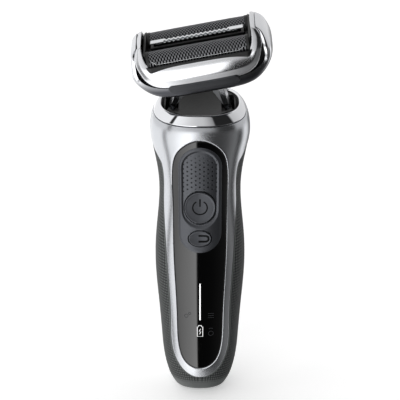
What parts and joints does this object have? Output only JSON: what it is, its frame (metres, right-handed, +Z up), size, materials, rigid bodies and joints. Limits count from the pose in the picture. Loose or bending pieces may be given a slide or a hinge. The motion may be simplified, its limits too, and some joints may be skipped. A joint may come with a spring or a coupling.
{
  "type": "electric shaver",
  "caption": "Cordless foil shaver with a contoured rubber-gripped handle and a head that tilts and rolls on a two-arm neck, with floating foils and a middle trimmer.",
  "frame": {"origin": "middle of the charging socket's mouth, in the flat foot of the handle", "axes": "+Z up the handle, +X to the right of the user facing the front, front panel faces -Y"},
  "size_m": [0.0543, 0.0424, 0.168],
  "materials": {
    "satin_silver": "satin silver coating",
    "gloss_black": "high gloss",
    "grip_rubber": "ribbed and dimpled soft rubber",
    "satin_graphite": "satin",
    "housing_black": "fine moulded texture",
    "lit_window": "lit white window",
    "light_guide": "clear moulded",
    "cell_sleeve": "shrink sleeve",
    "board_green": "solder mask",
    "nickel": "nickel plate",
    "zinc_steel": "zinc plate",
    "seal_rubber": "smooth",
    "bright_chrome": "mirror chrome",
    "matt_black": "matt",
    "brushed_steel": "ground",
    "arm_silver": "silver",
    "grey_plastic": "fine texture",
    "band_chrome": "satin chrome fading to dark grey",
    "satin_chrome": "satin chrome",
    "copper_coil": "enamelled wire",
    "band_grey": "satin dark grey",
    "cassette_black": "satin",
    "foil_steel": "perforated foil",
    "blade_steel": "ground"
  },
  "bodies": {
    "handle": {"front_frame": "satin_silver", "front_panel": "gloss_black", "rubber_grip": "grip_rubber", "switch_plate": "satin_graphite", "housing_front": "housing_black", "housing_rear": "housing_black", "power_switch": "housing_black", "lock_switch": "housing_black", "level_bar": "lit_window", "battery_symbol": "lit_window", "light_guide": "light_guide", "chassis": "housing_black", "battery_cell": "cell_sleeve", "circuit_board": "board_green", "battery_tabs": "nickel", "chassis_screws": "zinc_steel", "charge_socket": "housing_black", "charge_pins": "nickel", "socket_gasket": "seal_rubber", "collar_ring": "bright_chrome", "neck_seal": "seal_rubber", "neck_dish": "matt_black", "neck_plate": "housing_black"},
    "power_button": {"power_button": "satin_graphite"},
    "lock_button": {"head_lock_button": "satin_graphite"},
    "yoke": {"arc_rail": "brushed_steel", "neck_arm_left": "arm_silver", "neck_arm_right": "arm_silver", "tilt_pins": "brushed_steel", "arm_webs": "grey_plastic"},
    "head": {"head_band": "band_chrome", "head_bezel": "satin_chrome", "head_deck": "housing_black", "roll_carriage": "grey_plastic", "head_screws": "zinc_steel", "motor_coils": "copper_coil", "motor_core": "zinc_steel"},
    "front_release": {"front_release": "band_grey"},
    "rear_release": {"rear_release": "band_grey"},
    "front_drive": {"front_drive": "grey_plastic"},
    "rear_drive": {"rear_drive": "grey_plastic"},
    "cassette": {"cassette_frame": "cassette_black"},
    "front_foil": {"front_foil": "foil_steel", "front_foil_carrier": "cassette_black"},
    "rear_foil": {"rear_foil": "foil_steel", "rear_foil_carrier": "cassette_black"},
    "front_blades": {"front_blade_block": "blade_steel"},
    "rear_blades": {"rear_blade_block": "blade_steel"},
    "trimmer": {"trimmer_body": "cassette_black", "trimmer_guard": "blade_steel"},
    "trimmer_blade": {"trimmer_blade": "blade_steel"}
  },
  "joints": [
    {"name": "head_pitch", "type": "hinge", "parent": "handle", "child": "yoke", "pos_m": [0, 0.00069, 0.12206], "axis": [1, 0, 0], "range_deg": [-30, 10]},
    {"name": "head_roll", "type": "hinge", "parent": "yoke", "child": "head", "pos_m": [0, -0.01025, 0.15213], "axis": [0, -0.9397, -0.342], "range_deg": [-25, 1]},
    {"name": "power_press", "type": "slide", "parent": "handle", "child": "power_button", "axis": [0, 1, 0], "range_m": [0, 0.0008], "stiffness_N_per_m": 800},
    {"name": "lock_press", "type": "slide", "parent": "handle", "child": "lock_button", "axis": [0, 1, 0], "range_m": [0, 0.0008], "stiffness_N_per_m": 800},
    {"name": "cassette_lift", "type": "slide", "parent": "head", "child": "cassette", "axis": [-0.2079, -0.3345, 0.9192], "range_m": [0, 0.016]},
    {"name": "front_release_press", "type": "slide", "parent": "head", "child": "front_release", "axis": [0, 0.9397, 0.342], "range_m": [0, 0.001], "stiffness_N_per_m": 800},
    {"name": "rear_release_press", "type": "slide", "parent": "head", "child": "rear_release", "axis": [0, -0.9397, -0.342], "range_m": [0, 0.001], "stiffness_N_per_m": 800},
    {"name": "front_foil_float", "type": "slide", "parent": "cassette", "child": "front_foil", "axis": [0.2079, 0.3345, -0.9192], "range_m": [0, 0.0014], "stiffness_N_per_m": 400},
    {"name": "rear_foil_float", "type": "slide", "parent": "cassette", "child": "rear_foil", "axis": [0.2079, 0.3345, -0.9192], "range_m": [0, 0.0014], "stiffness_N_per_m": 400},
    {"name": "trimmer_float", "type": "slide", "parent": "cassette", "child": "trimmer", "axis": [0.2079, 0.3345, -0.9192], "range_m": [0, 0.0012], "stiffness_N_per_m": 400},
    {"name": "front_drive_stroke", "type": "slide", "parent": "head", "child": "front_drive", "axis": [0.9781, -0.0711, 0.1954], "range_m": [-0.001, 0.001], "stiffness_N_per_m": 3000},
    {"name": "rear_drive_stroke", "type": "slide", "parent": "head", "child": "rear_drive", "axis": [0.9781, -0.0711, 0.1954], "range_m": [-0.001, 0.001]},
    {"name": "front_blade_stroke", "type": "slide", "parent": "front_foil", "child": "front_blades", "axis": [0.9781, -0.0711, 0.1954], "range_m": [-0.001, 0.001]},
    {"name": "rear_blade_stroke", "type": "slide", "parent": "rear_foil", "child": "rear_blades", "axis": [0.9781, -0.0711, 0.1954], "range_m": [-0.001, 0.001]},
    {"name": "trimmer_blade_stroke", "type": "slide", "parent": "trimmer", "child": "trimmer_blade", "axis": [0.9781, -0.0711, 0.1954], "range_m": [-0.001, 0.001]}
  ],
  "couplings": [
    {"joint": "rear_drive_stroke", "follows": "front_drive_stroke", "ratio": -1},
    {"joint": "front_blade_stroke", "follows": "front_drive_stroke", "ratio": 1},
    {"joint": "rear_blade_stroke", "follows": "front_drive_stroke", "ratio": -1},
    {"joint": "trimmer_blade_stroke", "follows": "front_drive_stroke", "ratio": 1}
  ]
}
